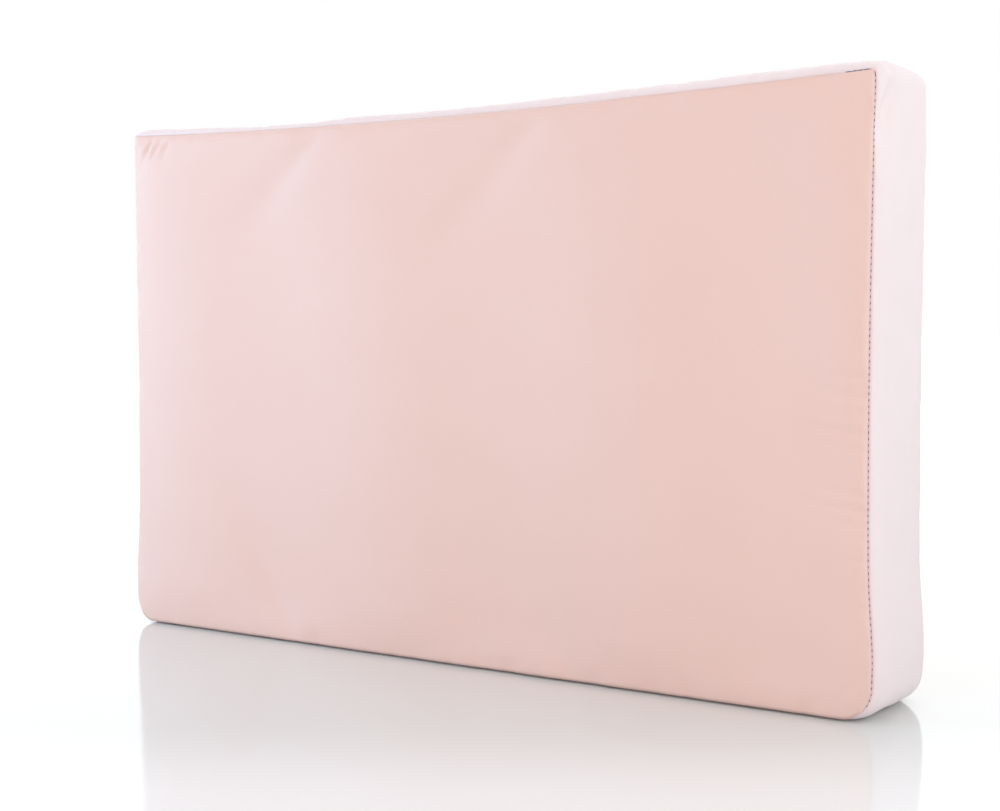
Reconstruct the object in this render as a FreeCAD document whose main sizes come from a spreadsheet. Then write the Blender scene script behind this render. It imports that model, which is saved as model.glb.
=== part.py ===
import FreeCAD, Part
import math
import os
import Sketcher

# A boxed foam mat in a zip-off fabric cover, standing on one long edge.
# +X runs along the length, -Y is the front face, +Z is up, and the origin is
# the middle of the edge that it stands on. Millimetres.

doc = FreeCAD.newDocument("foamMat")

drivingSizes = {
    # the whole mat
    "matLength": 965.0,
    "matHeight": 610.0,
    "matThickness": 127.0,
    "bottomCorner": 28.0,
    "topCorner": 10.0,
    # cloth, liner and foam
    "clothThick": 1.2,
    "linerThick": 0.5,
    "layerGap": 0.3,
    "comfortThick": 25.0,
    "zipRoom": 5.6,
    "seamWidth": 0.8,
    "seamDepth": 0.2,
    # the zip in the far end of the cover
    "zipLow": 40.0,
    "zipHigh": 572.0,
    "patchHeight": 8.0,
    "zipWindow": 16.0,
    "tapeEdge": 3.2,
    "tapeWidth": 14.0,
    "tapeThick": 0.6,
    "tapeTuck": 4.0,
    "toothThick": 2.4,
    "toothHeight": 1.2,
    "toothReach": 0.9,
    "toothPitch": 3.0,
    "beadWidth": 0.6,
    "stopHeight": 3.0,
    "stopSplit": 0.6,
    "stopGap": 0.3,
    # the slider
    "sliderLength": 11.0,
    "sliderWidth": 9.8,
    "sliderMouth": 7.2,
    "sliderTail": 8.8,
    "sliderShoulder": 2.2,
    "sliderWaist": 6.05,
    "plateThick": 1.3,
    "channelGap": 0.4,
    "lipWidth": 0.9,
    "lipGap": 0.35,
    "neckWidth": 2.4,
    "neckLength": 3.4,
    "bridgeWidth": 2.4,
    "bridgeLength": 7.4,
    "bridgeWall": 1.1,
    "bridgeOpening": 2.5,
    # the pull tab
    "pivotHeight": 1.25,
    "tabThick": 1.2,
    "tabLength": 30.0,
    "tabWidth": 8.0,
    "tabNeckWidth": 6.8,
    "tabWindowWidth": 3.6,
    "tabWindow": 5.2,
    "tabTaper": 2.4,
    # stitches and label
    "stitchWidth": 0.6,
    "stitchRise": 0.3,
    "stitchInset": 2.5,
    "labelWidth": 26.0,
    "labelHeight": 42.0,
    "labelThick": 0.6,
    "labelLow": 88.0,
    "labelInset": 6.0,
}

sheet = doc.addObject("Spreadsheet::Sheet", "sizes")
for row, (alias, value) in enumerate(drivingSizes.items(), start=1):
    sheet.set("A%d" % row, alias)
    sheet.set("B%d" % row, str(value))
    sheet.setAlias("B%d" % row, alias)
doc.recompute()


class Size:
    """A length that knows its number and the expression that gives it."""

    def __init__(self, value, text=None):
        self.value = float(value)
        self.text = text or "%g mm" % value

    def combine(self, other, sign, value):
        return Size(value, "(%s %s %s)" % (self.text, sign, other.text))

    def __add__(self, other):
        return self.combine(other, "+", self.value + other.value)

    def __sub__(self, other):
        return self.combine(other, "-", self.value - other.value)

    def __mul__(self, factor):
        return Size(self.value * factor, "(%s * %g)" % (self.text, factor))

    def __neg__(self):
        return self * -1


def size(alias):
    return Size(sheet.get(alias), "sizes.%s * 1 mm" % alias)


zero = Size(0)
matLength = size("matLength")
matHeight = size("matHeight")
matThickness = size("matThickness")
bottomCorner = size("bottomCorner")
topCorner = size("topCorner")
cloth = size("clothThick")
liner = size("linerThick")
gap = size("layerGap")

matEnd = matLength * 0.5
matFace = matThickness * 0.5
subParts = []


def newBody(label):
    body = doc.addObject("PartDesign::Body", label)
    body.Label = label
    subParts.append(body)
    return body


def newSketch(body, plane, offset=zero):
    """A sketch on one of the body's own origin planes, shifted along its normal."""
    sketch = body.newObject("Sketcher::SketchObject", body.Label + "Sketch")
    support = [f for f in body.Origin.OriginFeatures if f.Role == plane][0]
    sketch.AttachmentSupport = [(support, "")]
    sketch.MapMode = "FlatFace"
    sketch.setExpression("AttachmentOffset.Base.z", offset.text)
    return sketch


def fixPoint(sketch, geometry, point, across, up):
    """Dimension one point of the sketch from its origin."""
    for kind, length in (("DistanceX", across), ("DistanceY", up)):
        number = sketch.addConstraint(
            Sketcher.Constraint(kind, -1, 1, geometry, point, length.value))
        sketch.setExpression("Constraints[%d]" % number, length.text)


def drawPolygon(sketch, points):
    """A closed outline of straight lines through the given corners."""
    first = sketch.GeometryCount
    count = len(points)
    for i, (across, up) in enumerate(points):
        nextAcross, nextUp = points[(i + 1) % count]
        sketch.addGeometry(Part.LineSegment(
            FreeCAD.Vector(across.value, up.value, 0),
            FreeCAD.Vector(nextAcross.value, nextUp.value, 0)))
    for i in range(count):
        sketch.addConstraint(Sketcher.Constraint(
            "Coincident", first + i, 2, first + (i + 1) % count, 1))
    for i, (across, up) in enumerate(points):
        fixPoint(sketch, first + i, 1, across, up)


def drawRectangle(sketch, left, right, low, high):
    drawPolygon(sketch, [(left, low), (right, low), (right, high), (left, high)])


def drawOutline(sketch, left, right, low, high, lowCorner, highCorner):
    """A rectangle with one radius on its lower corners and one on its upper ones."""
    first = sketch.GeometryCount
    corners = [(left, low, 1, 1, lowCorner, 180), (right, low, -1, 1, lowCorner, 270),
               (right, high, -1, -1, highCorner, 0), (left, high, 1, -1, highCorner, 90)]
    centres = [(x + r * sx, z + r * sz, r, angle) for x, z, sx, sz, r, angle in corners]
    ends = []
    for x, z, r, angle in centres:
        circle = Part.Circle(FreeCAD.Vector(x.value, z.value, 0),
                             FreeCAD.Vector(0, 0, 1), r.value)
        arc = Part.ArcOfCircle(circle, math.radians(angle), math.radians(angle + 90))
        ends.append((arc.StartPoint, arc.EndPoint))
        sketch.addGeometry(arc)
    for i in range(4):
        sketch.addGeometry(Part.LineSegment(ends[i][1], ends[(i + 1) % 4][0]))
    for i in range(4):
        line = first + 4 + i
        sketch.addConstraint(Sketcher.Constraint("Tangent", first + i, 2, line, 1))
        sketch.addConstraint(Sketcher.Constraint("Tangent", line, 2, first + (i + 1) % 4, 1))
    for i, (x, z, r, angle) in enumerate(centres):
        fixPoint(sketch, first + i, 3, x, z)
    for i in (0, 2):
        number = sketch.addConstraint(Sketcher.Constraint("Radius", first + i, centres[i][2].value))
        sketch.setExpression("Constraints[%d]" % number, centres[i][2].text)


def pad(body, sketch, length, middle=False):
    feature = body.newObject("PartDesign::Pad", body.Label + "Pad")
    feature.Profile = sketch
    feature.setExpression("Length", length.text)
    feature.SideType = "Symmetric" if middle else "One side"
    body.Tip = feature
    return feature


def pocket(body, sketch, length, middle=False, back=False):
    feature = body.newObject("PartDesign::Pocket", body.Label + "Pocket")
    feature.Profile = sketch
    feature.setExpression("Length", length.text)
    feature.SideType = "Symmetric" if middle else "One side"
    feature.Reversed = back
    body.Tip = feature
    return feature


def newBox(label, x, y, z, listed=True):
    """A plain block between its low and high side along each axis."""
    box = doc.addObject("Part::Box", label)
    box.Label = label
    for side, (low, high) in zip(("Length", "Width", "Height"), (x, y, z)):
        box.setExpression(side, (high - low).text)
    for axis, (low, high) in zip("xyz", (x, y, z)):
        box.setExpression("Placement.Base." + axis, low.text)
    if listed:
        subParts.append(box)
    return box


def newGroup(label, members):
    group = doc.addObject("Part::Compound", label)
    group.Label = label
    group.Links = members
    subParts.append(group)


def mirrored(low, high, side):
    """The span from low to high, on the front side (-1) or the back side (+1)."""
    return (low, high) if side > 0 else (-high, -low)


# ---- foam: a firm block with a softer layer glued to its front face
linerFace = matFace - cloth - gap
foamFace = linerFace - liner - gap
foamInset = cloth + gap + liner + gap
foamLeft = -matEnd + size("zipRoom") + liner + gap
foamRight = matEnd - foamInset
foamJoint = foamFace - size("comfortThick")


def drawFoam(sketch):
    drawOutline(sketch, foamLeft, foamRight, foamInset, matHeight - foamInset,
                bottomCorner - foamInset, topCorner - foamInset)


body = newBody("foam_core")
sketch = newSketch(body, "XZ_Plane", -foamFace)
drawFoam(sketch)
pad(body, sketch, foamFace + foamJoint)

body = newBody("foam_comfort_layer")
sketch = newSketch(body, "XZ_Plane", foamJoint)
drawFoam(sketch)
pad(body, sketch, size("comfortThick"))

# ---- liner: a thin sleeve over the foam, with its mouth at the zip
linerInset = cloth + gap
body = newBody("inner_liner")
sketch = newSketch(body, "XZ_Plane")
drawOutline(sketch, -matEnd + size("zipRoom"), matEnd - linerInset, linerInset,
            matHeight - linerInset, bottomCorner - linerInset, topCorner - linerInset)
pad(body, sketch, linerFace * 2, middle=True)
sketch = newSketch(body, "XZ_Plane")
drawOutline(sketch, -matEnd - size("zipRoom"), matEnd - linerInset - liner, linerInset + liner,
            matHeight - linerInset - liner, bottomCorner - linerInset - liner,
            topCorner - linerInset - liner)
pocket(body, sketch, (linerFace - liner) * 2, middle=True)

# ---- cover: a front and a back panel, and one strip round three edges
for label, start in (("front_panel", matFace - cloth), ("back_panel", -matFace)):
    body = newBody(label)
    sketch = newSketch(body, "XZ_Plane", start)
    drawOutline(sketch, -matEnd, matEnd, zero, matHeight, bottomCorner, topCorner)
    pad(body, sketch, cloth)

bandFace = matFace - cloth - size("seamWidth")
zipLow = size("zipLow")
zipHigh = size("zipHigh")
body = newBody("boxing_band")
sketch = newSketch(body, "XZ_Plane")
drawOutline(sketch, -matEnd, matEnd, zero, matHeight, bottomCorner, topCorner)
drawOutline(sketch, -matEnd + cloth, matEnd - cloth, cloth, matHeight - cloth,
            bottomCorner - cloth, topCorner - cloth)
pad(body, sketch, bandFace * 2, middle=True)
sketch = newSketch(body, "YZ_Plane", -matEnd - cloth)
drawRectangle(sketch, -matFace, matFace, zipLow, zipHigh)
zipCut = cloth * 3
pocket(body, sketch, zipCut, back=True)

# ---- thread laid in the valley between each panel and the edge strip
seamOut = size("seamDepth")
seamIn = seamOut + size("seamWidth")
for label, start in (("front_seam_thread", bandFace), ("back_seam_thread", -matFace + cloth)):
    body = newBody(label)
    sketch = newSketch(body, "XZ_Plane", start)
    for inset in (seamOut, seamIn):
        drawOutline(sketch, -matEnd + inset, matEnd - inset, inset, matHeight - inset,
                    bottomCorner - inset, topCorner - inset)
    pad(body, sketch, size("seamWidth"))

# ---- the far end: two cloth strips with the zip between them
stripOut = -matEnd
stripIn = -matEnd + cloth
windowEdge = size("zipWindow") * 0.5
patchHeight = size("patchHeight")
tapeIn = stripIn + size("tapeThick")
tapeEdge = size("tapeEdge")
tapeTuck = size("tapeTuck")
chainMiddle = stripIn + size("tapeThick") * 0.5
toothThick = size("toothThick")
chainOut = chainMiddle - toothThick * 0.5
chainIn = chainMiddle + toothThick * 0.5
chainLow = zipLow + patchHeight
chainHigh = zipHigh - patchHeight
stopHeight = size("stopHeight")
toothHeight = size("toothHeight")
toothPitch = size("toothPitch")
beadWidth = size("beadWidth")
sliderLow = chainLow + stopHeight + size("stopGap")
rowStart = sliderLow + size("neckLength") + size("stopGap")
rowEnd = chainHigh - stopHeight - toothHeight - toothPitch * 0.5
toothCount = int((rowEnd - rowStart).value / toothPitch.value)

for side, name in ((-1, "front"), (1, "back")):
    newBox("zip_strip_" + name, (stripOut, stripIn), mirrored(windowEdge, bandFace, side),
           (zipLow, zipHigh))
    newBox("zip_tape_" + name, (stripIn, tapeIn),
           mirrored(tapeEdge, tapeEdge + size("tapeWidth"), side),
           (zipLow + tapeTuck, zipHigh - tapeTuck))

    body = newBody("zip_teeth_" + name)
    rowLow = rowStart if side < 0 else rowStart + toothPitch * 0.5
    sketch = newSketch(body, "YZ_Plane", stripIn)
    beadLow, beadHigh = mirrored(tapeEdge - beadWidth, tapeEdge, side)
    drawRectangle(sketch, beadLow, beadHigh, rowLow, rowLow + toothPitch * toothCount)
    pad(body, sketch, size("tapeThick"))
    sketch = newSketch(body, "YZ_Plane", chainOut)
    toothLow, toothHigh = mirrored(-size("toothReach"), tapeEdge, side)
    drawRectangle(sketch, toothLow, toothHigh, rowLow, rowLow + toothHeight)
    tooth = pad(body, sketch, toothThick)
    row = body.newObject("PartDesign::LinearPattern", body.Label + "Row")
    row.Originals = [tooth]
    row.Direction = (sketch, ["V_Axis"])
    row.Mode = "Spacing"
    row.setExpression("Offset", toothPitch.text)
    row.Occurrences = toothCount
    body.Tip = row

for name, low in (("bottom", zipLow), ("top", zipHigh - patchHeight)):
    newBox("zip_end_patch_" + name, (stripOut, stripIn), (-windowEdge, windowEdge),
           (low, low + patchHeight))

stops = [newBox("closingStop%d" % i, (chainOut, chainIn),
                mirrored(size("stopSplit"), tapeEdge, side),
                (chainLow, chainLow + stopHeight), listed=False)
         for i, side in enumerate((-1, 1))]
newGroup("zip_closing_stops", stops)
newBox("zip_opening_stop", (chainOut, chainIn), (-tapeEdge, tapeEdge),
       (chainHigh - stopHeight, chainHigh))

# ---- slider: two plates joined by a neck, with lips round the tapes and a bridge on top
sliderLength = size("sliderLength")
sliderMiddle = sliderLow + sliderLength * 0.5
sliderHigh = sliderLow + sliderLength
plateThick = size("plateThick")
outerPlateIn = chainOut - size("channelGap")
outerPlateOut = outerPlateIn - plateThick
innerPlateOut = chainIn + size("channelGap")
innerPlateIn = innerPlateOut + plateThick
mouthHalf = size("sliderMouth") * 0.5
wideHalf = size("sliderWidth") * 0.5
tailHalf = size("sliderTail") * 0.5
shoulder = sliderLow + size("sliderShoulder")
waist = sliderLow + size("sliderWaist")
plateOutline = [(-mouthHalf, sliderLow), (mouthHalf, sliderLow), (wideHalf, shoulder),
                (wideHalf, waist), (tailHalf, sliderHigh), (-tailHalf, sliderHigh),
                (-wideHalf, waist), (-wideHalf, shoulder)]
body = newBody("zip_slider")
neck = newSketch(body, "YZ_Plane", outerPlateIn)
neckHalf = size("neckWidth") * 0.5
neckHigh = sliderLow + size("neckLength")
drawPolygon(neck, [(-neckHalf, sliderLow), (neckHalf, sliderLow), (zero, neckHigh)])
pad(body, neck, innerPlateOut - outerPlateIn)
for start in (outerPlateOut, innerPlateOut):
    plate = newSketch(body, "YZ_Plane", start)
    drawPolygon(plate, plateOutline)
    pad(body, plate, plateThick)
lipGap = size("lipGap")
lipOutHalf = tailHalf
lipInHalf = tailHalf - size("lipWidth")
for start, end in ((outerPlateIn, stripIn - lipGap), (tapeIn + lipGap, innerPlateOut)):
    for side in (-1, 1):
        lip = newSketch(body, "YZ_Plane", start)
        lipLow, lipHigh = mirrored(lipInHalf, lipOutHalf, side)
        drawRectangle(lip, lipLow, lipHigh, shoulder, sliderHigh)
        pad(body, lip, end - start)
bridgeHalf = size("bridgeLength") * 0.5
bridgeWall = size("bridgeWall")
openingOut = outerPlateOut - size("bridgeOpening")
bridge = newSketch(body, "XZ_Plane")
bridgeOut = openingOut - bridgeWall
drawPolygon(bridge, [
    (outerPlateOut, sliderMiddle - bridgeHalf),
    (openingOut, sliderMiddle - bridgeHalf),
    (bridgeOut, sliderMiddle - bridgeHalf + bridgeWall),
    (bridgeOut, sliderMiddle + bridgeHalf - bridgeWall),
    (openingOut, sliderMiddle + bridgeHalf),
    (outerPlateOut, sliderMiddle + bridgeHalf),
    (outerPlateOut, sliderMiddle + bridgeHalf - bridgeWall),
    (openingOut, sliderMiddle + bridgeHalf - bridgeWall),
    (openingOut, sliderMiddle - bridgeHalf + bridgeWall),
    (outerPlateOut, sliderMiddle - bridgeHalf + bridgeWall)])
pad(body, bridge, size("bridgeWidth"), middle=True)

# ---- pull tab: a flat tag whose top bar turns inside the bridge
pivotOut = outerPlateOut - size("pivotHeight")
tabHalf = size("tabThick") * 0.5
tabTop = sliderMiddle + tabHalf
tabShoulder = sliderMiddle - size("tabWindow")
tabLow = sliderMiddle - size("tabLength")
tabNeckHalf = size("tabNeckWidth") * 0.5
tabWindowHalf = size("tabWindowWidth") * 0.5
tabWideHalf = size("tabWidth") * 0.5
tabTaper = size("tabTaper")
body = newBody("zip_pull_tab")
bar = newSketch(body, "XZ_Plane")
bar.addGeometry(Part.Circle(FreeCAD.Vector(pivotOut.value, sliderMiddle.value, 0),
                            FreeCAD.Vector(0, 0, 1), tabHalf.value))
fixPoint(bar, 0, 3, pivotOut, sliderMiddle)
radius = bar.addConstraint(Sketcher.Constraint("Radius", 0, tabHalf.value))
bar.setExpression("Constraints[%d]" % radius, tabHalf.text)
pad(body, bar, tabNeckHalf * 2, middle=True)
tag = newSketch(body, "YZ_Plane", pivotOut - tabHalf)
drawPolygon(tag, [
    (-tabNeckHalf, tabTop), (-tabWindowHalf, tabTop), (-tabWindowHalf, tabShoulder),
    (tabWindowHalf, tabShoulder), (tabWindowHalf, tabTop), (tabNeckHalf, tabTop),
    (tabNeckHalf, tabShoulder), (tabWideHalf, tabShoulder - tabTaper),
    (tabWideHalf, tabLow + tabTaper), (tabNeckHalf, tabLow), (-tabNeckHalf, tabLow),
    (-tabWideHalf, tabLow + tabTaper), (-tabWideHalf, tabShoulder - tabTaper),
    (-tabNeckHalf, tabShoulder)])
pad(body, tag, tabHalf * 2)

# ---- stitches that show on the zip end, and a blank label
stitchHalf = size("stitchWidth") * 0.5
stitchInset = size("stitchInset")
stitchOut = stripOut - size("stitchRise")
for side, name in ((-1, "front"), (1, "back")):
    middle = windowEdge + stitchInset
    newBox("zip_stitch_" + name, (stitchOut, stripOut),
           mirrored(middle - stitchHalf, middle + stitchHalf, side),
           (zipLow + stitchInset, zipHigh - stitchInset))
joins = []
for i, middle in enumerate((zipLow - stitchInset, zipHigh + stitchInset)):
    joins.append(newBox("joinStitch%d" % i, (stitchOut, stripOut),
                        (-bandFace + stitchInset, bandFace - stitchInset),
                        (middle - stitchHalf, middle + stitchHalf), listed=False))
newGroup("band_join_stitch", joins)
labelBack = bandFace - size("labelInset")
labelLow = size("labelLow")
newBox("care_label", (stripOut - size("labelThick"), stripOut),
       (labelBack - size("labelWidth"), labelBack),
       (labelLow, labelLow + size("labelHeight")))

# ---- check everything, then write one file for each sub-part
doc.recompute()
for item in doc.Objects:
    if "Invalid" in item.State or "Error" in item.State:
        raise RuntimeError("%s failed: %s" % (item.Label, item.State))
for item in subParts:
    if item.Shape.isNull() or not item.Shape.isValid():
        raise RuntimeError("%s has no valid shape" % item.Label)

os.makedirs("parts", exist_ok=True)
for item in subParts:
    item.Shape.exportStep("parts/%s.step" % item.Label)
    print("%-22s %2d solid(s) %12.1f mm3  z %.1f to %.1f" % (
        item.Label, len(item.Shape.Solids), item.Shape.Volume,
        item.Shape.BoundBox.ZMin, item.Shape.BoundBox.ZMax))
print("%d sub-parts" % len(subParts))
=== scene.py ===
import math

import bmesh
import bpy
import numpy as np
from mathutils import Matrix, Vector, noise
from mathutils.bvhtree import BVHTree


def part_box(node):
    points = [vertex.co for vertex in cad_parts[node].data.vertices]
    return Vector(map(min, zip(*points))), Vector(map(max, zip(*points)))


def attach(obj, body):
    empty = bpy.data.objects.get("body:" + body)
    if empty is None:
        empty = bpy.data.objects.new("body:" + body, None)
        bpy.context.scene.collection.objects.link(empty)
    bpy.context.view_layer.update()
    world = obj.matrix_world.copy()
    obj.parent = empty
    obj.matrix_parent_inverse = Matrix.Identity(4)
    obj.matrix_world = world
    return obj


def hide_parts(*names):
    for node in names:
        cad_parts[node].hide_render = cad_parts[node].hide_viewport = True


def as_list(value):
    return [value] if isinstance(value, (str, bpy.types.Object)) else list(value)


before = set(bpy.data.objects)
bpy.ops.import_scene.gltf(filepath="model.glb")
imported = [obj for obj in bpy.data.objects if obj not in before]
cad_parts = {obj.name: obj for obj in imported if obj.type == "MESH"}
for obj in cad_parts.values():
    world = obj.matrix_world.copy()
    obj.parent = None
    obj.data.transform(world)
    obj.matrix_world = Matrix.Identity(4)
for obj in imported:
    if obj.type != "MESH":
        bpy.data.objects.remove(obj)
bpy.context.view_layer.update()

scene = bpy.context.scene
panelLow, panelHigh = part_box("front_panel")
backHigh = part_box("back_panel")[1]


# camera
cameraView = {
    "lens": 60.2,
    "turn": math.radians(34.27),
    "tilt": math.radians(2.99),
    "corner": (0.4753, -0.0625),  # the near lower corner of the front seam
    "aside": 0.340,
    "away": 1.525,
    "height": 0.375,
}


def makeCamera():
    turn = cameraView["turn"]
    right = Vector((math.cos(turn), math.sin(turn), 0))
    ahead = Vector((-math.sin(turn), math.cos(turn), 0))
    place = Vector((*cameraView["corner"], cameraView["height"]))
    place -= right * cameraView["aside"] + ahead * cameraView["away"]
    camera = bpy.data.objects.new("camera", bpy.data.cameras.new("camera"))
    camera.location = place
    camera.rotation_euler = (math.radians(90) - cameraView["tilt"], 0, turn)
    camera.data.lens = cameraView["lens"]
    camera.data.sensor_width = 36
    scene.collection.objects.link(camera)
    scene.camera = camera


makeCamera()
print("camera placed")


# small helpers
def newPiece(name, bm, smooth=True):
    mesh = bpy.data.meshes.new(name)
    bm.to_mesh(mesh)
    bm.free()
    piece = bpy.data.objects.new(name, mesh)
    scene.collection.objects.link(piece)
    mesh.polygons.foreach_set("use_smooth", [smooth] * len(mesh.polygons))
    return piece


def points(mesh):
    co = np.empty(len(mesh.vertices) * 3)
    mesh.vertices.foreach_get("co", co)
    return co.reshape(-1, 3)


def smoothStep(low, high, value):
    t = np.clip((value - low) / (high - low), 0, 1)
    return t * t * (3 - 2 * t)


# materials
def newMaterial(name):
    material = bpy.data.materials.new(name)
    material.use_nodes = True
    tree = material.node_tree
    shader = tree.nodes["Principled BSDF"]
    return material, tree, shader


def addNode(tree, kind, inputs=None, **settings):
    node = tree.nodes.new(kind)
    for key, value in settings.items():
        setattr(node, key, value)
    for key, value in (inputs or {}).items():
        if isinstance(value, bpy.types.NodeSocket):
            tree.links.new(value, node.inputs[key])
        else:
            node.inputs[key].default_value = value
    return node


clothLook = {
    "threadPitch": 0.00042,  # satin weave, warp and weft
    "slubLength": 0.012,
    "weaveDepth": 0.00004,
    "slubDepth": 0.00006,
}


def clothMaterial(name, tone, deepTone, sheen=0.25, roughness=0.5):
    material, tree, shader = newMaterial(name)
    coords = addNode(tree, "ShaderNodeUVMap", uv_map="weave")
    split = addNode(tree, "ShaderNodeSeparateXYZ", {"Vector": coords.outputs["UV"]})
    waves = []
    for axis, share in (("X", 1.0), ("Y", 1.9)):
        turned = addNode(tree, "ShaderNodeMath", {
            0: split.outputs[axis], 1: 2 * math.pi / (clothLook["threadPitch"] * share)},
            operation="MULTIPLY")
        waves.append(addNode(tree, "ShaderNodeMath", {0: turned.outputs[0]}, operation="SINE"))
    weave = addNode(tree, "ShaderNodeMath", {0: waves[0].outputs[0], 1: waves[1].outputs[0]},
                    operation="MULTIPLY")
    stretched = addNode(tree, "ShaderNodeMapping", {
        "Vector": coords.outputs["UV"], "Scale": (1 / clothLook["slubLength"], 1400, 1)})
    slub = addNode(tree, "ShaderNodeTexNoise", {"Vector": stretched.outputs[0], "Scale": 1.0,
                                               "Detail": 2.0})
    blotch = addNode(tree, "ShaderNodeTexNoise", {"Vector": coords.outputs["UV"], "Scale": 9.0,
                                                 "Detail": 2.0})
    shade = addNode(tree, "ShaderNodeMath", {0: slub.outputs["Fac"], 1: blotch.outputs["Fac"]},
                    operation="MULTIPLY_ADD")
    shade.inputs[2].default_value = 0.2
    colour = addNode(tree, "ShaderNodeMix", {"Factor": shade.outputs[0]}, data_type="RGBA")
    colour.inputs[6].default_value = (*deepTone, 1)
    colour.inputs[7].default_value = (*tone, 1)
    tree.links.new(colour.outputs[2], shader.inputs["Base Color"])
    bump = addNode(tree, "ShaderNodeBump", {
        "Height": weave.outputs[0], "Strength": 0.5, "Distance": clothLook["weaveDepth"]})
    bumpSlub = addNode(tree, "ShaderNodeBump", {
        "Height": slub.outputs["Fac"], "Strength": 0.5, "Distance": clothLook["slubDepth"],
        "Normal": bump.outputs[0]})
    tree.links.new(bumpSlub.outputs[0], shader.inputs["Normal"])
    shader.inputs["Roughness"].default_value = roughness
    shader.inputs["Sheen Weight"].default_value = sheen
    shader.inputs["Sheen Roughness"].default_value = 0.35
    shader.inputs["Specular IOR Level"].default_value = 0.4
    return material


coverCloth = clothMaterial("coverCloth", (0.87, 0.61, 0.55), (0.83, 0.55, 0.49))
# The edge strip's cloth is paler than the panels' cloth; part of that paleness is painted highlight
# standing for the strong light on the strip.
edgeCloth = clothMaterial("edgeCloth", (0.89, 0.745, 0.755), (0.86, 0.70, 0.705))


def threadMaterial(name, tone, deepTone):
    material, tree, shader = newMaterial(name)
    coords = addNode(tree, "ShaderNodeTexCoord")
    ply = addNode(tree, "ShaderNodeTexNoise", {"Vector": coords.outputs["Object"],
                                              "Scale": 1800.0, "Detail": 1.0})
    colour = addNode(tree, "ShaderNodeMix", {"Factor": ply.outputs["Fac"]}, data_type="RGBA")
    colour.inputs[6].default_value = (*deepTone, 1)
    colour.inputs[7].default_value = (*tone, 1)
    tree.links.new(colour.outputs[2], shader.inputs["Base Color"])
    bump = addNode(tree, "ShaderNodeBump", {"Height": ply.outputs["Fac"], "Strength": 0.6,
                                           "Distance": 0.0001})
    tree.links.new(bump.outputs[0], shader.inputs["Normal"])
    shader.inputs["Roughness"].default_value = 0.55
    return material


seamThread = threadMaterial("seamThread", (0.10, 0.12, 0.22), (0.03, 0.04, 0.09))
coverThread = threadMaterial("coverThread", (0.84, 0.58, 0.55), (0.66, 0.38, 0.36))


# the cover, swollen by cloth simulation as one shell
cover = {
    "seamIn": 0.0072,       # from the mat's nominal plain end to the seam
    "seamInZip": 0.0040,
    "seamTop": 0.0080,
    "seamLow": 0.0040,
    "seamFace": 0.0010,
    "lowRadius": 0.026,
    "topRadius": 0.005,
    "grid": 0.005,
    "topSag": 0.0098,       # how far the top seam dips between its corners
    "topFall": 0.0030,
    "pressure": 4.0,
    "slack": 0.010,
    "frames": 12,
}
seamLeft = panelLow.x + cover["seamInZip"]
seamRight = panelHigh.x - cover["seamIn"]
seamLow = cover["seamLow"]
seamTop = panelHigh.z - cover["seamTop"]
seamFront = panelLow.y + cover["seamFace"]
seamBack = backHigh.y - cover["seamFace"]
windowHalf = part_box("zip_strip_back")[0].y
stripLow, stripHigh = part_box("zip_strip_back")[0].z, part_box("zip_strip_back")[1].z
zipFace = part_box("zip_strip_back")[0].x


def roundCorner(x, z):
    midX, midZ = (seamLeft + seamRight) / 2, (seamLow + seamTop) / 2
    radius = cover["topRadius"] if z > midZ else cover["lowRadius"]
    overX = abs(x - midX) - ((seamRight - seamLeft) / 2 - radius)
    overZ = abs(z - midZ) - ((seamTop - seamLow) / 2 - radius)
    if overX > 0 and overZ > 0:
        shrink = max(overX, overZ) / math.hypot(overX, overZ)
        x -= math.copysign(overX * (1 - shrink), x - midX)
        z -= math.copysign(overZ * (1 - shrink), z - midZ)
    return x, z


def seamShift(x, z):
    # the top edge dips between its corners, and the ends draw in at mid height
    along = min(max((seamRight - x) / (seamRight - seamLeft), 0), 1)
    height = min(max((z - seamLow) / (seamTop - seamLow), 0), 1)
    dip = cover["topSag"] * math.sin(math.pi * along) ** 0.7 + cover["topFall"] * along
    side = 1 if x > 0 else -1
    endness = abs(2 * along - 1) ** 12
    draw = 0.003 * math.sin(math.pi * height) - 0.004 * math.exp(-((height - 0.09) / 0.09) ** 2)
    return x - side * draw * endness, z - dip * height ** 10


def buildShell():
    bm = bmesh.new()
    across = round((seamRight - seamLeft) / cover["grid"])
    up = round((seamTop - seamLow) / cover["grid"])
    bmesh.ops.create_grid(bm, x_segments=across, y_segments=up, size=1,
                          matrix=Matrix.Rotation(math.pi / 2, 4, "X"))
    for v in bm.verts:
        x = seamLeft + (v.co.x + 1) / 2 * (seamRight - seamLeft)
        z = seamLow + (v.co.z + 1) / 2 * (seamTop - seamLow)
        v.co = Vector((*roundCorner(x, z), seamFront)).xzy
    front = list(bm.faces)
    copied = bmesh.ops.duplicate(bm, geom=front)["geom"]
    back = [f for f in copied if isinstance(f, bmesh.types.BMFace)]
    bmesh.ops.translate(bm, verts=list({v for f in back for v in f.verts}),
                        vec=(0, seamBack - seamFront, 0))
    bmesh.ops.reverse_faces(bm, faces=back)
    edges = [e for f in front for e in f.edges if e.is_boundary]
    steps = [(-windowHalf - seamFront) / 11] * 11 + [windowHalf / 2] * 4
    steps += [(seamBack - windowHalf) / 11] * 11
    for step in steps:
        made = bmesh.ops.extrude_edge_only(bm, edges=edges)["geom"]
        ring = [g for g in made if isinstance(g, bmesh.types.BMVert)]
        edges = [g for g in made if isinstance(g, bmesh.types.BMEdge)
                 and all(v in set(ring) for v in g.verts)]
        bmesh.ops.translate(bm, verts=ring, vec=(0, step, 0))
    bmesh.ops.remove_doubles(bm, verts=bm.verts, dist=0.0002)
    bmesh.ops.recalc_face_normals(bm, faces=bm.faces)
    return bm


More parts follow.
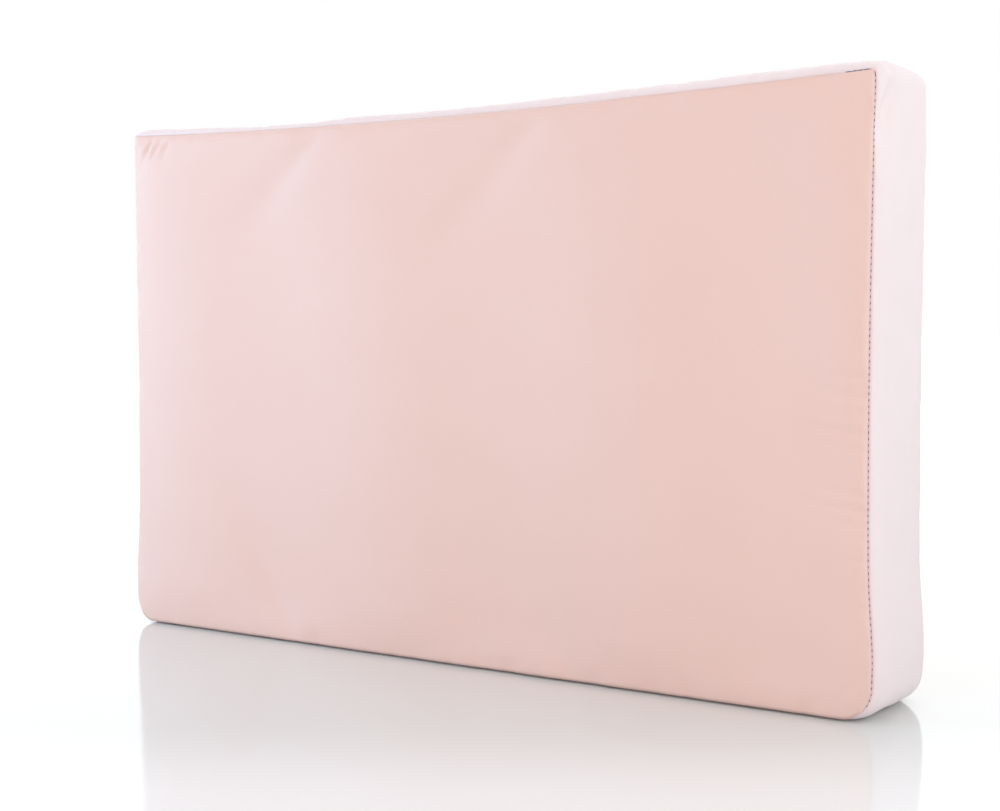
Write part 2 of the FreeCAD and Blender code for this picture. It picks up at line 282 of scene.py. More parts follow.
def seamMask(shell, co):
    onFront = np.abs(co[:, 1] - seamFront) < 1e-5
    onBack = np.abs(co[:, 1] - seamBack) < 1e-5
    edges = np.empty(len(shell.data.edges) * 2, int)
    shell.data.edges.foreach_get("vertices", edges)
    a, b = edges.reshape(-1, 2).T
    seam = np.zeros(len(co), bool)
    for face in (onFront, onBack):
        for inner, outer in ((a, b), (b, a)):
            seam[inner[face[inner] & ~face[outer]]] = True
    return seam, onFront, onBack


def simulate(shell, pinned):
    pins = shell.vertex_groups.new(name="pins")
    pins.add([int(i) for i in np.nonzero(pinned)[0]], 1.0, "REPLACE")
    cloth = shell.modifiers.new("cloth", "CLOTH")
    settings = cloth.settings
    settings.quality = 5
    settings.bending_stiffness = 0.5
    settings.use_pressure = True
    settings.uniform_pressure_force = cover["pressure"]
    settings.vertex_group_mass = "pins"
    settings.shrink_min = -cover["slack"]
    settings.effector_weights.gravity = 0
    cloth.point_cache.frame_end = cover["frames"]
    for step in range(1, cover["frames"] + 1):
        scene.frame_set(step)
    graph = bpy.context.evaluated_depsgraph_get()
    swollen = points(shell.evaluated_get(graph).data)
    shell.modifiers.remove(cloth)
    scene.frame_set(1)
    return swollen


swell = {
    "face": 0.0050,      # how far each side may stand out from its seams
    # how far the top edge stands above its seams, by distance from the plain end
    "topAlong": (0.0, 0.02, 0.06, 0.12, 0.25, 0.35, 0.45, 0.64, 0.745, 0.85, 0.96),
    "top": (0.0110, 0.0122, 0.0152, 0.0160, 0.0138, 0.0122, 0.0100, 0.0078, 0.0046, 0.0078, 0.0090),
    "plainEnd": 0.0085,
    "zipEnd": 0.0018,
    "groove": 0.0006,
    "floorGap": 0.0004,
    "faceShare": 0.6,    # how much of the shape the simulation gives
    "edgeShare": 0.28,
    "faceGain": 2.4,
    "edgeGain": 3.4,
}


def outward(co, onFace):
    # the way each point of the shell swells
    midX, midZ = (seamLeft + seamRight) / 2, (seamLow + seamTop) / 2
    radius = np.where(co[:, 2] > midZ, cover["topRadius"], cover["lowRadius"])
    overX = np.abs(co[:, 0] - midX) - ((seamRight - seamLeft) / 2 - radius)
    overZ = np.abs(co[:, 2] - midZ) - ((seamTop - seamLow) / 2 - radius)
    corner = (overX > 0) & (overZ > 0)
    side = overX > overZ
    nx = np.where(corner, overX, side * 1.0) * np.sign(co[:, 0] - midX)
    nz = np.where(corner, overZ, ~side * 1.0) * np.sign(co[:, 2] - midZ)
    size = np.maximum(np.hypot(nx, nz), 1e-9)
    normal = np.stack([nx / size, np.zeros(len(co)), nz / size], 1)
    normal[onFace] = 0
    normal[onFace, 1] = np.sign(co[onFace, 1])
    return normal


def zipProfile(co):
    # the zip's tapes keep the middle of their end flat
    return (1 - np.abs(np.clip(co[:, 1] / seamBack, -1, 1)) ** 4) ** 0.8


def swellShell(shell):
    co = points(shell.data)
    seam, onFront, onBack = seamMask(shell, co)
    onFace = (onFront | onBack) & ~seam
    zipEdge = (co[:, 0] < seamLeft + 0.001) & (np.abs(co[:, 1]) < windowHalf + 0.001)
    normal = outward(co, onFace)
    depth = np.minimum(co[:, 1] - seamFront, seamBack - co[:, 1])
    inset = np.minimum(np.minimum(co[:, 0] - seamLeft, seamRight - co[:, 0]),
                       np.minimum(co[:, 2] - seamLow, seamTop - co[:, 2]))
    out = np.where(onFace, 0.22 * inset, 0.28 * depth * (1 - depth / 0.125) * 1.2)
    share = np.where(onFace, swell["faceShare"], swell["edgeShare"])
    pushed = ((simulate(shell, seam | zipEdge) - co) * normal).sum(1)
    out = out * (1 - share) + np.maximum(pushed, 0) * share
    out = np.where(seam, 0, np.maximum(out, 0))
    nx, nz = normal[:, 0], normal[:, 2]
    limit = np.full(len(co), swell["face"])
    band = ~onFace
    ends = np.where(nx > 0, swell["plainEnd"], swell["zipEnd"])
    topRise = np.interp(seamRight - co[:, 0], swell["topAlong"], swell["top"])
    tops = np.where(nz > 0, topRise, seamLow - swell["floorGap"])
    limit[band] = (ends * nx ** 2 + tops * nz ** 2)[band]
    gain = np.where(onFace, swell["faceGain"], swell["edgeGain"])
    out = limit * np.tanh(gain * out / limit)
    flat = (seamLeft - zipFace) * zipProfile(co)
    zipShare = band * np.maximum(-nx, 0) ** 2
    out = np.where(seam, 0, out * (1 - zipShare) + flat * zipShare)
    return co + normal * out[:, None], co, seam, onFront, onBack, normal


def weaveMap(bm, onFrontFace):
    # u and v in metres: across and up a panel, round and across the edge strip
    layer = bm.loops.layers.uv.new("weave")
    length, height = seamRight - seamLeft, seamTop - seamLow
    girth = 2 * (length + height)

    def around(v):
        x, z = v.co.x - seamLeft, v.co.z - seamLow
        sides = {"low": z, "right": length - x, "top": height - z, "left": x}
        near = min(sides, key=sides.get)
        return {"low": x, "right": length + z, "top": 2 * length + height - x,
                "left": 2 * length + 2 * height - z}[near]

    for face in bm.faces:
        if onFrontFace(face):
            for loop in face.loops:
                loop[layer].uv = (loop.vert.co.x, loop.vert.co.z)
        else:
            first = around(face.verts[0])
            for loop in face.loops:
                u = around(loop.vert)
                u -= girth * round((u - first) / girth)
                loop[layer].uv = (u, loop.vert.co.y)


# the folds and puckers laid over the swollen shell
waves = {
    "length": 0.312, "crest": 0.264, "rise": 0.0034,  # broad upright waves of the front
    "farRise": 0.0010,
    "foldGain": 2.2, "puckerGain": 2.0,  # how strongly the folds and puckers below show
}
softFolds = [
    # from and to: distance from the right end and height, then half width and rise
    {"from": (0.655, 0.590), "to": (0.790, 0.470), "width": 0.022, "rise": -0.0016},
    {"from": (0.360, 0.592), "to": (0.505, 0.440), "width": 0.026, "rise": -0.0014},
    {"from": (0.700, 0.012), "to": (0.800, 0.180), "width": 0.024, "rise": -0.0014},
    {"from": (0.430, 0.010), "to": (0.470, 0.080), "width": 0.016, "rise": -0.0008},
    {"from": (0.320, 0.010), "to": (0.360, 0.070), "width": 0.014, "rise": -0.0008},
    {"from": (0.923, 0.590), "to": (0.938, 0.560), "width": 0.0045, "rise": -0.0016},
    {"from": (0.907, 0.590), "to": (0.921, 0.568), "width": 0.0040, "rise": -0.0012},
    {"from": (0.891, 0.590), "to": (0.901, 0.572), "width": 0.0040, "rise": -0.0009},
]
rightPuckers = [
    # height, reach in from the seam, rise
    (0.319, 0.020, -0.0007), (0.303, 0.034, -0.0010), (0.286, 0.026, -0.0009),
    (0.267, 0.040, -0.0011), (0.253, 0.022, -0.0008), (0.211, 0.030, -0.0010),
    (0.197, 0.040, -0.0011), (0.183, 0.024, -0.0008), (0.150, 0.016, -0.0006),
    (0.380, 0.014, -0.0005), (0.438, 0.014, -0.0005),
]


def foldField(along, height):
    total = np.zeros(len(along))
    for fold in softFolds:
        start, end = np.array(fold["from"]), np.array(fold["to"])
        run = end - start
        size = np.hypot(*run)
        t = ((along - start[0]) * run[0] + (height - start[1]) * run[1]) / size ** 2
        off = ((along - start[0]) * run[1] - (height - start[1]) * run[0]) / size
        width = fold["width"] * (0.55 + 0.9 * np.clip(t, 0, 1))
        reach = smoothStep(-0.25, 0.12, t) * (1 - smoothStep(0.45, 1.3, t))
        total += fold["rise"] * np.exp(-(off / width) ** 2) * reach
    return total


def puckerField(along, gap, low, high, chance, spacing, rise, reach):
    # gathers that run in from a seam: none at the seam itself, most a few millimetres in
    total = np.zeros(len(along))
    near = gap < reach * 4
    q, d = along[near], gap[near]
    found = np.zeros(len(q))
    place = low + spacing
    while place < high - spacing:
        width = spacing * chance.uniform(0.22, 0.34)
        length = reach * chance.uniform(0.4, 1.2)
        slant = chance.uniform(-0.35, 0.35)
        size = rise * chance.uniform(0.2, 1.0) ** 1.6
        shape = np.exp(-((q - place - slant * d) / width) ** 2)
        found -= size * shape * d / (d + 0.003) * np.exp(-d / length)
        place += spacing * chance.uniform(0.75, 1.45)
    total[near] = found
    return total


def ripple(a, b, chance, scale, count=14):
    total = np.zeros(len(a))
    for _ in range(count):
        turn = chance.uniform(0, 2 * math.pi)
        pitch = scale * chance.uniform(0.6, 1.7)
        phase = chance.uniform(0, 2 * math.pi)
        total += np.sin(2 * math.pi * (a * math.cos(turn) + b * math.sin(turn)) / pitch + phase)
    return total / math.sqrt(count)


def panelRelief(co, front):
    chance = np.random.default_rng(11 if front else 23)
    along = seamRight - co[:, 0]
    height = co[:, 2]
    gaps = (along, co[:, 0] - seamLeft, seamTop - height, height - seamLow)
    rise = np.zeros(len(co))
    for gap, q, low, high, size in (
            (gaps[0], height, seamLow, seamTop, 0.00045), (gaps[1], height, seamLow, seamTop, 0.0004),
            (gaps[2], along, 0, 0.95, 0.0003), (gaps[3], along, 0, 0.95, 0.0007)):
        rise += puckerField(q, np.maximum(gap, 0), low + 0.02, high - 0.02, chance, 0.013, size, 0.012)
    inner = smoothStep(0, 0.05, np.minimum(np.minimum(gaps[0], gaps[1]), np.minimum(gaps[2], gaps[3])))
    rise += inner * 0.00028 * ripple(along, height, chance, 0.11)
    if front:
        rise += inner * waves["rise"] * np.cos(
            2 * math.pi * (along - waves["crest"] - 0.10 * (height - 0.3)) / waves["length"])
        rise += (waves["foldGain"] * foldField(along, height)
                 * smoothStep(0, 0.006, gaps[2]) * smoothStep(0, 0.006, gaps[3]))
        for place, reach, size in rightPuckers:
            d = np.maximum(along, 0)
            rise += waves["puckerGain"] * size * np.exp(-((height - place - 0.12 * d) / 0.0038) ** 2) * (
                d / (d + 0.003)) * np.exp(-d / reach)
    else:
        rise += inner * waves["farRise"] * ripple(along, height * 0.4, chance, 0.3, 6)
    return rise


def bump(value, middle, width):
    return np.exp(-((value - middle) / width) ** 2)


def bandRelief(co, q, length, height):
    # q runs along the bottom, up the plain end, back along the top and down the zip end
    chance = np.random.default_rng(31)
    rise = np.zeros(len(co))
    for gap in (co[:, 1] - seamFront, seamBack - co[:, 1]):
        rise += puckerField(q, np.maximum(gap, 0), 0, 2 * (length + height), chance, 0.014, 0.0007, 0.010)
    depth = co[:, 1]
    middle = 1 - (depth / seamBack) ** 2
    rise += middle * 0.0005 * ripple(q, depth, chance, 0.07)
    along = 2 * length + height - q  # zero at the plain end of the top
    onTop = smoothStep(-0.01, 0.02, length - along) * smoothStep(-0.01, 0.01, along)
    puffs = 0.0034 * bump(along, 0.331, 0.045) - 0.0020 * bump(along, 0.275, 0.022)
    rise += middle * onTop * puffs
    up = q - length  # zero at the foot of the plain end
    # a soft hollow beside the front seam below the top corner, and a flatter far corner
    hollow = 0.010 + 0.22 * np.clip(up - height + 0.070, 0, 0.05)
    dent = 0.0100 * bump(up, height - 0.038, 0.028) * bump(depth, seamFront + hollow, 0.009)
    dent += 0.0012 * bump(up, height - 0.012, 0.035) * smoothStep(0.005, 0.045, depth)
    return rise - dent


rolled = {"from": 0.030, "to": 0.300, "lift": 0.0030, "reach": 0.008,
          "footDrop": 0.0052, "footOut": 0.0010, "footReach": 0.009}


def rollOver(rest, panel):
    # along part of the top the front panel rolls up and hides its seam
    along, gap = seamRight - rest[:, 0], np.maximum(seamTop - rest[:, 2], 0)
    share = smoothStep(rolled["from"] - 0.008, rolled["from"] + 0.020, along)
    share *= 1 - smoothStep(rolled["to"] - 0.045, rolled["to"] + 0.015, along)
    share *= panel * np.exp(-gap / rolled["reach"]) * gap / (gap + 0.0006)
    # and all along the foot it rolls under
    gap = np.maximum(rest[:, 2] - seamLow, 0)
    low = panel * np.exp(-(gap / rolled["footReach"]) ** 2) * gap / (gap + 0.0004)
    move = np.zeros((len(rest), 3))
    move[:, 1] = -0.35 * rolled["lift"] * share - rolled["footOut"] * low
    move[:, 2] = rolled["lift"] * share - rolled["footDrop"] * low
    return move


def sunk(rest):
    # the seam lies in a small groove between the panel and the edge strip
    inward = -outward(rest, np.zeros(len(rest), bool))
    inward[:, 1] = -np.sign(rest[:, 1])
    return inward * swell["groove"]


def addRelief(co, rest, seam, onFront, onBack, normal):
    length, height = seamRight - seamLeft, seamTop - seamLow
    face = (onFront | onBack) & ~seam
    rise = np.zeros(len(co))
    for mask, front in ((onFront & ~seam, True), (onBack & ~seam, False)):
        rise[mask] = panelRelief(rest[mask], front)
    band = ~face & ~seam
    x, z = rest[:, 0] - seamLeft, rest[:, 2] - seamLow
    sides = np.stack([z, length - x, height - z, x])
    q = np.choose(sides.argmin(0), [x, length + z, 2 * length + height - x, 2 * length + 2 * height - z])
    zipSide = smoothStep(0.0, 0.02, x)
    rise[band] = (bandRelief(rest[band], q[band], length, height)
                  * (0.25 + 0.75 * zipSide[band]))
    co = co + normal * rise[:, None]
    co[seam] += sunk(rest[seam])
    co += rollOver(rest, onFront & ~seam)
    co += rollOver(rest * (1, -1, 1), onBack & ~seam) * (1, -1, 1)
    shifted = np.array([seamShift(*pair) for pair in rest[:, ::2]]) - rest[:, ::2]
    shifted[:, 0] *= 1 - band * np.maximum(-normal[:, 0], 0) ** 2 * zipProfile(rest)
    co[:, ::2] += shifted
    co[:, 2] = np.maximum(co[:, 2], swell["floorGap"])
    return co


def finerCopy(mesh, co, seam):
    # one Catmull-Clark step that keeps the seams sharp
    mesh = mesh.copy()
    mesh.vertices.foreach_set("co", co.ravel())
    edges = np.empty(len(mesh.edges) * 2, int)
    mesh.edges.foreach_get("vertices", edges)
    sharp = seam[edges.reshape(-1, 2)].all(1)
    crease = mesh.attributes.new("crease_edge", "FLOAT", "EDGE")
    crease.data.foreach_set("value", sharp.astype(np.float32))
    holder = bpy.data.objects.new("holder", mesh)
    scene.collection.objects.link(holder)
    finer = holder.modifiers.new("finer", "SUBSURF")
    finer.levels = finer.render_levels = 1
    graph = bpy.context.evaluated_depsgraph_get()
    made = bpy.data.meshes.new_from_object(holder.evaluated_get(graph))
    bpy.data.objects.remove(holder)
    return made


def makeCover():
    bm = buildShell()
    weaveMap(bm, lambda f: all(abs(v.co.y - f.verts[0].co.y) < 1e-5 for v in f.verts))
    shell = newPiece("shell", bm)
    swollen, rest, seam, onFront, onBack, normal = swellShell(shell)
    print("cover swollen")
    restMesh = finerCopy(shell.data, rest, seam)
    mesh = finerCopy(shell.data, swollen, seam)
    bpy.data.objects.remove(shell)
    rest = points(restMesh)
    holder = bpy.data.objects.new("holder", restMesh)
    seam, onFront, onBack = seamMask(holder, rest)
    bpy.data.objects.remove(holder)
    normal = outward(rest, (onFront | onBack) & ~seam)
    co = addRelief(points(mesh), rest, seam, onFront, onBack, normal)
    mesh.vertices.foreach_set("co", co.ravel())
    mesh.update()
    return mesh, rest


coverMesh, restPoints = makeCover()
print("folds and puckers laid")


# the cover's pieces, each cut from the shell along its seams
def faceMiddles(mesh, co):
    corners = np.empty(len(mesh.loops), int)
    mesh.loops.foreach_get("vertex_index", corners)
    return co[corners.reshape(-1, 4)].mean(1)


middles = faceMiddles(coverMesh, restPoints)
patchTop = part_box("zip_end_patch_bottom")[1].z
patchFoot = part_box("zip_end_patch_top")[0].z
isFront = np.abs(middles[:, 1] - seamFront) < 1e-5
isBack = np.abs(middles[:, 1] - seamBack) < 1e-5
atZip = ((middles[:, 0] < seamLeft + 0.0004) & ~isFront & ~isBack
         & (middles[:, 2] > stripLow) & (middles[:, 2] < stripHigh))
inWindow = atZip & (np.abs(middles[:, 1]) < windowHalf)


def seamLoop(bm):
    # the boundary of a panel, in order, as an array of points
    edge = next(e for e in bm.edges if e.is_boundary)
    vert, loop = edge.verts[0], []
    while True:
        loop.append(vert.co.copy())
        vert = edge.other_vert(vert)
        if (vert.co - loop[0]).length < 1e-7:
            return np.array(loop)
        edge = next(e for e in vert.link_edges if e.is_boundary and e != edge)


def turnIn(bm, depth, inward):
    # the seam allowance: the cut edge turned in behind the seam
    edges = [e for e in bm.edges if e.is_boundary]
    made = bmesh.ops.extrude_edge_only(bm, edges=edges)["geom"]
    for v in (g for g in made if isinstance(g, bmesh.types.BMVert)):
        v.co += Vector(inward(v.co)) * depth


def cutPiece(name, keep, node, material, allowance=None):
    bm = bmesh.new()
    bm.from_mesh(coverMesh)
    bm.faces.ensure_lookup_table()
    bmesh.ops.delete(bm, geom=[f for f, k in zip(bm.faces, keep) if not k], context="FACES")
    loop = seamLoop(bm)
    if allowance:
        turnIn(bm, allowance, inwardAt)
    piece = newPiece(name, bm)
    piece.data.materials.clear()
    piece.data.materials.append(material)
    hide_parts(node)
    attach(piece, "mat")
    return piece, loop


def inwardAt(co):
    x = -math.copysign(1, co.x) if abs(co.x) > seamRight - 0.03 else 0
    z = 1 if co.z < 0.03 else (-1 if co.z > seamTop - 0.03 else 0)
    y = -math.copysign(0.7, co.y) if abs(co.y) > 0.05 else 0
    return x, y, z


frontCover, frontLoop = cutPiece("frontCover", isFront, "front_panel", coverCloth, 0.006)
backCover, backLoop = cutPiece("backCover", isBack, "back_panel", coverCloth, 0.006)
edgeBand, _ = cutPiece("edgeBand", ~isFront & ~isBack & ~atZip, "boxing_band", edgeCloth)
zipCloth = [edgeBand]
for side, name in ((-1, "Front"), (1, "Back")):
    strip, _ = cutPiece("zipStrip" + name, atZip & ~inWindow & (middles[:, 1] * side > 0),
                        "zip_strip_" + name.lower(), edgeCloth)
    zipCloth.append(strip)
for name, keep in (("Bottom", middles[:, 2] < patchTop), ("Top", middles[:, 2] > patchFoot)):
    patch, _ = cutPiece("zipPatch" + name, inWindow & keep, "zip_end_patch_" + name.lower(),
                        edgeCloth)
    zipCloth.append(patch)
for piece in zipCloth:
    wall = piece.modifiers.new("wall", "SOLIDIFY")
    wall.thickness = 0.0008
    wall.offset = -1
bpy.data.meshes.remove(coverMesh)

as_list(zipCloth[3:])
for strip in zipCloth[1:3]:
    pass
print("cover cut into its pieces")


# stitches
def stitchRow(name, path, lift, pitch, share, radius, material, closed=False, exposed=None):
    if closed:
        path = np.vstack([path, path[:1]])
    runs = np.linalg.norm(np.diff(path, axis=0), axis=1)
    travel = np.concatenate([[0], np.cumsum(runs)])
    count = int(travel[-1] / pitch)
    pitch = travel[-1] / count
    at = lambda q: Vector([np.interp(q, travel, path[:, i]) for i in range(3)])
    bm = bmesh.new()
    for i in range(count):
        middle = at((i + 0.5) * pitch)
        part = share
        raised = lift(middle)
        if exposed and exposed(middle):
            part, raised = 1.12, raised * 2.2
        start, end = at((i + 0.5 - part / 2) * pitch), at((i + 0.5 + part / 2) * pitch)
        run = end - start
        turn = run.to_track_quat("X", "Z").to_matrix().to_4x4()
        size = Matrix.Diagonal((run.length / 2 / radius, 1, 1, 1))
        bmesh.ops.create_uvsphere(bm, u_segments=6, v_segments=5, radius=radius,
                                  matrix=Matrix.Translation((start + end) / 2 + raised) @ turn @ size)
    piece = newPiece(name, bm)
    piece.data.materials.append(material)
    return piece


seamStitch = {"pitch": 0.0059, "share": 0.46, "radius": 0.00030, "shown": 0.00012, "hidden": -0.0004}


def threadShows(co):
    # the plain end's seams are pulled open enough to show their thread
    onEnd = co.x > seamRight - 0.012 and co.z > seamLow + 0.012
    return onEnd or (co.x > seamRight - 0.030 and co.z > seamTop - 0.014)


def seamLift(co):
    flat = Vector((0, math.copysign(1, co.y), 0))
    inward = Vector(inwardAt(co))
    inward.y = 0
    return (flat - inward).normalized() * seamStitch["shown" if threadShows(co) else "hidden"]


def atOpenCorner(co):
    return co.x > seamRight - 0.029 and co.z > seamTop - 0.010


for name, loop, node in (("frontSeamStitches", frontLoop, "front_seam_thread"),
                         ("backSeamStitches", backLoop, "back_seam_thread")):
    row = stitchRow(name, loop, seamLift, seamStitch["pitch"], seamStitch["share"], seamStitch["radius"],
                    seamThread, closed=True, exposed=atOpenCorner)
    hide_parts(node)
    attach(row, "mat")
print("seams stitched")


# the zip end: topstitching, tapes, teeth, stops, slider and pull tab
def surfaceFinder(piece):
    tree = BVHTree.FromObject(piece, bpy.context.evaluated_depsgraph_get())

    def find(y, z):
        return tree.ray_cast(Vector((-1, y, z)), Vector((1, 0, 0)))[0]
    return find


def straightPath(find, start, end, step=0.003):
    count = max(int(math.dist(start, end) / step), 2)
    spots = [find(*(a + (b - a) * i / count for a, b in zip(start, end))) for i in range(count + 1)]
    return np.array([spot for spot in spots if spot])


def mergeRows(name, rows):
    bm = bmesh.new()
    for row in rows:
        bm.from_mesh(row.data)
        bpy.data.objects.remove(row)
    piece = newPiece(name, bm)
    piece.data.materials.append(coverThread)
    return piece


topStitch = {"pitch": 0.0033, "share": 0.78, "radius": 0.00032, "lift": 0.0001}
rowLift = lambda co: Vector((-topStitch["lift"], 0, 0))


def plainRow(name, path):
    return stitchRow(name, path, rowLift, topStitch["pitch"], topStitch["share"], topStitch["radius"],
                     coverThread)


def sewOn(piece, slot, *nodes):
    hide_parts(*nodes)
    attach(piece, "mat")


bandFace = surfaceFinder(edgeBand)
for strip, node in ((zipCloth[1], "zip_stitch_front"), (zipCloth[2], "zip_stitch_back")):
    low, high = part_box(node)
    y = (low.y + high.y) / 2
    path = straightPath(surfaceFinder(strip), (y, low.z), (y, high.z))
    row = plainRow("zipStitch" + node[11:].capitalize(), path)
    sewOn(row, "cover_thread", node)

low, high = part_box("band_join_stitch")
rows = [plainRow("row", straightPath(bandFace, (low.y + 0.003, z), (high.y - 0.003, z)))
        for z in (low.z + 0.0002, high.z - 0.0002)]
joinRows = mergeRows("bandJoinStitches", rows)
sewOn(joinRows, "cover_thread", "band_join_stitch")

tapeLook = {"wall": 0.0005, "ridge": 0.0003, "wander": 0.00006}


def makeTape(name, node):
    low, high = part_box(node)
    side = 1 if low.y > 0 else -1
    bm = bmesh.new()
    bmesh.ops.create_grid(bm, x_segments=14, y_segments=175, size=0.5)
    layer = bm.loops.layers.uv.new("weave")
    size = high - low
    for v in bm.verts:
        across, up = v.co.x + 0.5, v.co.y + 0.5
        near = low.y if side > 0 else high.y
        ridge = tapeLook["ridge"] * bump(across, 0.03, 0.05)
        wander = tapeLook["wander"] * noise.noise(Vector((across * 2, up * 40, side)))
        x = (low.x + high.x) / 2 - ridge * 0.3 + wander * min(across * 3, 1)
        v.co = (x, near + side * across * size.y, low.z + up * size.z)
    for face in bm.faces:
        for loop in face.loops:
            loop[layer].uv = (loop.vert.co.z, loop.vert.co.y)
    bmesh.ops.recalc_face_normals(bm, faces=bm.faces)
    if bm.faces[:][0].normal.x > 0:
        bmesh.ops.reverse_faces(bm, faces=bm.faces)
    tape = newPiece(name, bm)
    tape.data.materials.append(tapeCloth)
    wall = tape.modifiers.new("wall", "SOLIDIFY")
    wall.thickness = tapeLook["wall"]
    wall.offset = 0
    sewOn(tape, "zip_tape", node)
    return tape


tapeCloth = clothMaterial("tapeCloth", (0.80, 0.55, 0.52), (0.70, 0.44, 0.42), 0.1, 0.65)
makeTape("zipTapeFront", "zip_tape_front")
makeTape("zipTapeBack", "zip_tape_back")


def plainMaterial(name, tone, deepTone, scale, roughness, metallic=0.0, depth=0.00003):
    material, tree, shader = newMaterial(name)
    coords = addNode(tree, "ShaderNodeTexCoord")
    grain = addNode(tree, "ShaderNodeTexNoise", {"Vector": coords.outputs["Object"],
                                                "Scale": scale, "Detail": 3.0})
    colour = addNode(tree, "ShaderNodeMix", {"Factor": grain.outputs["Fac"]}, data_type="RGBA")
    colour.inputs[6].default_value = (*deepTone, 1)
    colour.inputs[7].default_value = (*tone, 1)
    tree.links.new(colour.outputs[2], shader.inputs["Base Color"])
    bumped = addNode(tree, "ShaderNodeBump", {"Height": grain.outputs["Fac"], "Strength": 0.5,
                                             "Distance": depth})
    tree.links.new(bumped.outputs[0], shader.inputs["Normal"])
    rough = addNode(tree, "ShaderNodeMapRange", {"Value": grain.outputs["Fac"],
                                                "To Min": roughness * 0.8, "To Max": roughness * 1.25})
    tree.links.new(rough.outputs[0], shader.inputs["Roughness"])
    shader.inputs["Metallic"].default_value = metallic
    return material


toothPlastic = plainMaterial("toothPlastic", (0.80, 0.55, 0.53), (0.72, 0.47, 0.45), 900, 0.35)
zipMetal = plainMaterial("zipMetal", (0.62, 0.61, 0.60), (0.50, 0.49, 0.48), 700, 0.28, 1.0)


def reshaped(name, node, material, body, bevel, segments=2):
    # a merged copy of the part with its edges eased
    bm = bmesh.new()
    bm.from_mesh(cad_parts[node].data)
    bmesh.ops.remove_doubles(bm, verts=bm.verts, dist=1e-6)
    bmesh.ops.dissolve_limit(bm, angle_limit=math.radians(1), verts=bm.verts, edges=bm.edges)
    if bevel:
        sharp = [e for e in bm.edges if e.is_manifold and e.calc_face_angle() > math.radians(40)]
        bmesh.ops.bevel(bm, geom=sharp, offset=bevel, segments=segments, profile=0.5, affect="EDGES",
                        material=-1, clamp_overlap=True)
    piece = newPiece(name, bm)
    piece.data.polygons.foreach_set("use_smooth", [False] * len(piece.data.polygons))
    piece.data.materials.append(material)
    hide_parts(node)
    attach(piece, body)
    return piece


reshaped("zipTeethFront", "zip_teeth_front", toothPlastic, "mat", 0.0002, 1)
reshaped("zipTeethBack", "zip_teeth_back", toothPlastic, "mat", 0.0002, 1)
reshaped("zipClosingStops", "zip_closing_stops", toothPlastic, "mat", 0.0004)
reshaped("zipOpeningStop", "zip_opening_stop", toothPlastic, "mat", 0.0004)
reshaped("zipSlider", "zip_slider", zipMetal, "slider", 0.0003)
reshaped("zipPullTab", "zip_pull_tab", zipMetal, "pull", 0.0003)
print("zip fitted")


# the blank care label, sewn to the edge strip along its upper end
def makeLabel():
    low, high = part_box("care_label")
    stripFace = surfaceFinder(zipCloth[2])
    bm = bmesh.new()
    bmesh.ops.create_grid(bm, x_segments=13, y_segments=21, size=0.5)
    layer = bm.loops.layers.uv.new("weave")
    for v in bm.verts:
        y = low.y + (v.co.x + 0.5) * (high.y - low.y)
        z = low.z + (v.co.y + 0.5) * (high.z - low.z)
        hang = (high.z - z) / (high.z - low.z)
        curl = 0.0006 * hang ** 2 * (1 + 0.6 * math.sin(v.co.x * 5))
        v.co = (stripFace(y, z).x - 0.0004 - curl, y, z)
    for face in bm.faces:
        for loop in face.loops:
            loop[layer].uv = (loop.vert.co.y, loop.vert.co.z)
    bmesh.ops.recalc_face_normals(bm, faces=bm.faces)
    if bm.faces[:][0].normal.x > 0:
        bmesh.ops.reverse_faces(bm, faces=bm.faces)
    label = newPiece("careLabel", bm)
    label.data.materials.append(
        clothMaterial("labelCloth", (0.86, 0.85, 0.83), (0.80, 0.79, 0.77), 0.1, 0.5))
    wall = label.modifiers.new("wall", "SOLIDIFY")
    wall.thickness = 0.0005
    wall.offset = 0
    sewOn(label, "label_fabric", "care_label")
    path = straightPath(surfaceFinder(label), (low.y + 0.001, high.z - 0.002),
                        (high.y - 0.001, high.z - 0.002))
    stitches = plainRow("labelStitches", path)
    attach(stitches, "mat")


makeLabel()
print("label sewn on")


# the two foam layers and the sleeve round them
foamLook = {"clear": 0.0024, "half": 0.0556, "round": 0.014, "crown": 0.0040,
            "gap": 0.0007, "sleeve": 0.0009}
coverTrees = [BVHTree.FromObject(piece, bpy.context.evaluated_depsgraph_get())
              for piece in (frontCover, backCover, *zipCloth)]


def roomInside(start, way, furthest):
    # how far a point can go before it meets the inside of the cover
    found = [tree.ray_cast(start, way, furthest)[3] for tree in coverTrees]
    return min([furthest, *[far for far in found if far is not None]])


def softSlab(low, high, gap, cuts=60):
    # a rounded block that fills the cover and stays inside it
    bm = bmesh.new()
    bmesh.ops.create_cube(bm, size=1)
    bmesh.ops.subdivide_edges(bm, edges=bm.edges, cuts=cuts, use_grid_fill=True)
    low, high = Vector(low), Vector(high)
    radius = foamLook["round"]
    for v in bm.verts:
        # the cuts crowd towards the edges, where the block rounds over
        spread = Vector([0.5 * math.sin(math.pi * c) for c in v.co])
        spot = Vector([a + (s + 0.5) * (b - a) for s, a, b in zip(spread, low, high)])
        inner = Vector([min(max(c, a + radius), b - radius) for c, a, b in zip(spot, low, high)])
        way = (spot - inner).normalized()
        spot = inner + way * radius
        x, z = seamShift(*roundCorner(spot.x, spot.z))
        if x < 0:
            x = max(x, spot.x)
        height = max(spot.z - low.z, 0) / (high.z - low.z)
        z += foamLook["crown"] * height ** 8 * max(1 - (spot.y / seamBack) ** 2, 0)
        start = Vector((x, spot.y, z)) - way * radius
        v.co = start + way * min(radius, roomInside(start, way, radius + 0.02) - gap)
    bmesh.ops.recalc_face_normals(bm, faces=bm.faces)
    return bm


